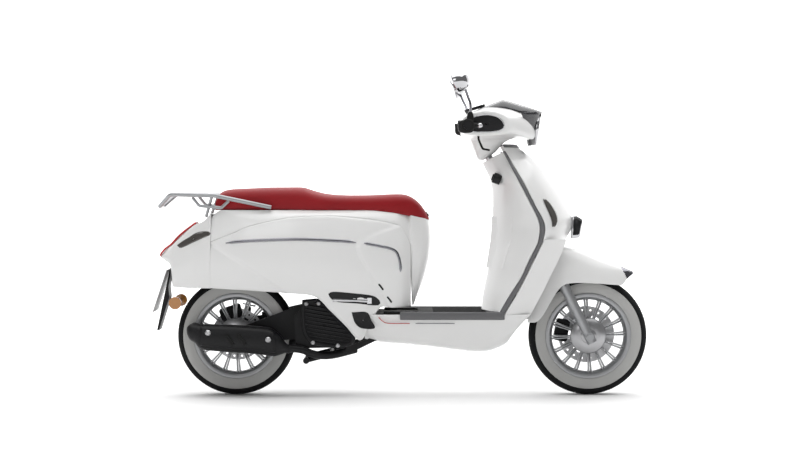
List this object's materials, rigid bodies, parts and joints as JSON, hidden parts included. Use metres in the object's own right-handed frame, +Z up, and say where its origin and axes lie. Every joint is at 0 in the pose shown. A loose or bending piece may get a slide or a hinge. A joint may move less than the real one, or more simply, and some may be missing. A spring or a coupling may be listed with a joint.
{
  "type": "moped scooter",
  "caption": "Retro step-through moped scooter with steering, suspension, spoked wheels, lifting seat, folding pegs and a rear luggage rack.",
  "frame": {"origin": "on the ground, below the middle of the overall length and width", "axes": "+X forward, +Y to the rider's left, +Z up"},
  "size_m": [1.906, 0.695, 1.2575],
  "materials": {
    "pearl_white": "pearl gloss paint",
    "trim_grey": "satin",
    "black_plastic": "fine grain",
    "rubber_black": "ribbed",
    "tyre_black": "treaded",
    "rim_silver": "silver satin paint",
    "steel": "brushed",
    "chrome": "polished",
    "frame_black": "satin black",
    "engine_black": "satin black",
    "seat_leather": "grained dark red",
    "seat_tray": "moulded",
    "rack_silver": "satin silver",
    "lens_red": "clear red lens",
    "lens_amber": "clear amber lens",
    "lamp_glass": "clear lens",
    "smoke_screen": "smoked",
    "plate_white": "flat",
    "fluid_hose": "smooth",
    "silver_paint": "satin silver",
    "tank_plastic": "moulded"
  },
  "bodies": {
    "chassis": {"main_frame": "frame_black", "side_panel_right": "pearl_white", "side_panel_left": "pearl_white", "seat_column": "pearl_white", "tail_cover": "pearl_white", "tail_light": "lens_red", "indicators": "lens_amber", "inner_shield": "pearl_white", "shield_trim": "trim_grey", "leg_shield": "pearl_white", "nose_grille": "chrome", "floor_fairing": "pearl_white", "floor_mat": "rubber_black", "storage_tub": "seat_tray", "fuel_tank": "tank_plastic", "wheel_liner": "black_plastic", "luggage_rack": "rack_silver", "plate_bracket": "black_plastic", "number_plate": "plate_white", "rear_reflectors": "lens_amber"},
    "steering": {"fork_upper": "steel", "handlebar": "frame_black", "left_grip": "rubber_black", "control_clusters": "black_plastic", "headset_cowl": "pearl_white", "headlight": "lamp_glass", "speedometer": "black_plastic", "flyscreen": "smoke_screen", "brake_hose": "fluid_hose", "front_fender": "pearl_white"},
    "fork_lower": {"fork_sliders": "silver_paint", "front_caliper": "frame_black"},
    "front_wheel": {"front_rim": "rim_silver", "front_tyre": "tyre_black", "front_disc": "steel"},
    "engine_unit": {"crankcase": "engine_black", "cvt_cover": "engine_black", "radiator_grille": "black_plastic", "exhaust": "frame_black", "exhaust_shield": "frame_black"},
    "rear_wheel": {"rear_rim": "rim_silver", "rear_tyre": "tyre_black", "rear_disc": "steel"},
    "seat": {"seat_pad": "seat_leather", "seat_base": "seat_tray"},
    "throttle": {"throttle_grip": "rubber_black"},
    "lever_right": {"brake_lever_front": "chrome"},
    "lever_left": {"brake_lever_rear": "chrome"},
    "mirror_right": {"mirror_head_right": "chrome"},
    "mirror_left": {"mirror_head_left": "chrome"},
    "glovebox": {"glovebox_door": "pearl_white"},
    "peg_right": {"footpeg_right": "chrome"},
    "peg_left": {"footpeg_left": "chrome"},
    "stand": {"centre_stand": "frame_black"},
    "key_switch": {"ignition_lock": "black_plastic"},
    "starter": {"starter_button": "black_plastic"},
    "horn": {"horn_button": "black_plastic"},
    "shock_upper": {"shock_body": "frame_black", "shock_spring": "frame_black"},
    "shock_lower": {"shock_rod": "chrome"}
  },
  "joints": [
    {"name": "steering_turn", "type": "hinge", "parent": "chassis", "child": "steering", "pos_m": [0.42396, 0, 0.75034], "axis": [-0.4462, 0, 0.8949], "range_deg": [-36, 36]},
    {"name": "fork_travel", "type": "slide", "parent": "steering", "child": "fork_lower", "axis": [-0.4462, 0, 0.8949], "range_m": [-0.02, 0.06], "stiffness_N_per_m": 9000, "springref_m": -0.03},
    {"name": "front_wheel_spin", "type": "hinge", "parent": "fork_lower", "child": "front_wheel", "pos_m": [0.723, 0, 0.229], "axis": [0, 1, 0], "continuous": true},
    {"name": "engine_swing", "type": "hinge", "parent": "chassis", "child": "engine_unit", "pos_m": [-0.215, 0, 0.395], "axis": [0, 1, 0], "range_deg": [-3, 3], "stiffness_Nm_per_rad": 2600, "springref_deg": -2.86},
    {"name": "rear_wheel_spin", "type": "hinge", "parent": "engine_unit", "child": "rear_wheel", "pos_m": [-0.636, 0, 0.229], "axis": [0, 1, 0], "continuous": true},
    {"name": "seat_lift", "type": "hinge", "parent": "chassis", "child": "seat", "pos_m": [0.1, 0, 0.694], "axis": [0, 1, 0], "range_deg": [0, 68]},
    {"name": "throttle_twist", "type": "hinge", "parent": "steering", "child": "throttle", "pos_m": [0.24741, -0.285, 1.03225], "axis": [0, 1, 0], "range_deg": [-75, 0], "stiffness_Nm_per_rad": 0.3},
    {"name": "brake_lever_right", "type": "hinge", "parent": "steering", "child": "lever_right", "pos_m": [0.28941, -0.207, 1.03225], "axis": [0, 0, 1], "range_deg": [0, 14], "stiffness_Nm_per_rad": 2},
    {"name": "brake_lever_left", "type": "hinge", "parent": "steering", "child": "lever_left", "pos_m": [0.28941, 0.207, 1.03225], "axis": [0, 0, 1], "range_deg": [-14, 0], "stiffness_Nm_per_rad": 2},
    {"name": "mirror_right_turn", "type": "hinge", "parent": "steering", "child": "mirror_right", "pos_m": [0.22741, -0.295, 1.17225], "axis": [0, 0, 1], "range_deg": [-20, 20]},
    {"name": "mirror_left_turn", "type": "hinge", "parent": "steering", "child": "mirror_left", "pos_m": [0.22741, 0.295, 1.17225], "axis": [0, 0, 1], "range_deg": [-20, 20]},
    {"name": "glovebox_lid", "type": "hinge", "parent": "chassis", "child": "glovebox", "pos_m": [0.33, 0, 0.491], "axis": [0, 1, 0], "range_deg": [-80, 0]},
    {"name": "peg_right_fold", "type": "hinge", "parent": "chassis", "child": "peg_right", "pos_m": [-0.12, -0.186, 0.373], "axis": [0, 0, 1], "range_deg": [0, 80]},
    {"name": "peg_left_fold", "type": "hinge", "parent": "chassis", "child": "peg_left", "pos_m": [-0.12, 0.186, 0.373], "axis": [0, 0, 1], "range_deg": [-80, 0]},
    {"name": "centre_stand_swing", "type": "hinge", "parent": "chassis", "child": "stand", "pos_m": [-0.2, 0, 0.18], "axis": [0, 1, 0], "range_deg": [-74, 0], "stiffness_Nm_per_rad": 8},
    {"name": "starter_press", "type": "slide", "parent": "steering", "child": "starter", "axis": [1, 0, 0], "range_m": [0, 0.002], "stiffness_N_per_m": 800},
    {"name": "horn_press", "type": "slide", "parent": "steering", "child": "horn", "axis": [1, 0, 0], "range_m": [0, 0.002], "stiffness_N_per_m": 800},
    {"name": "shock_swing", "type": "hinge", "parent": "chassis", "child": "shock_upper", "pos_m": [-0.54, 0.096, 0.59], "axis": [0, 1, 0], "range_deg": [-4, 4]},
    {"name": "shock_stroke", "type": "slide", "parent": "shock_upper", "child": "shock_lower", "axis": [0.2208, 0, 0.9753], "range_m": [-0.025, 0.045], "deforming": ["shock_spring"]},
    {"name": "key_turn", "type": "hinge", "parent": "chassis", "child": "key_switch", "pos_m": [0.35659, -0.096, 0.839], "axis": [-0.9439, 0, 0.3304], "range_deg": [-90, 0]}
  ],
  "couplings": [
    {"joint": "shock_swing", "follows": "engine_swing", "ratio": 0.56417},
    {"joint": "shock_stroke", "follows": "engine_swing", "m_per_rad": 0.36004}
  ]
}
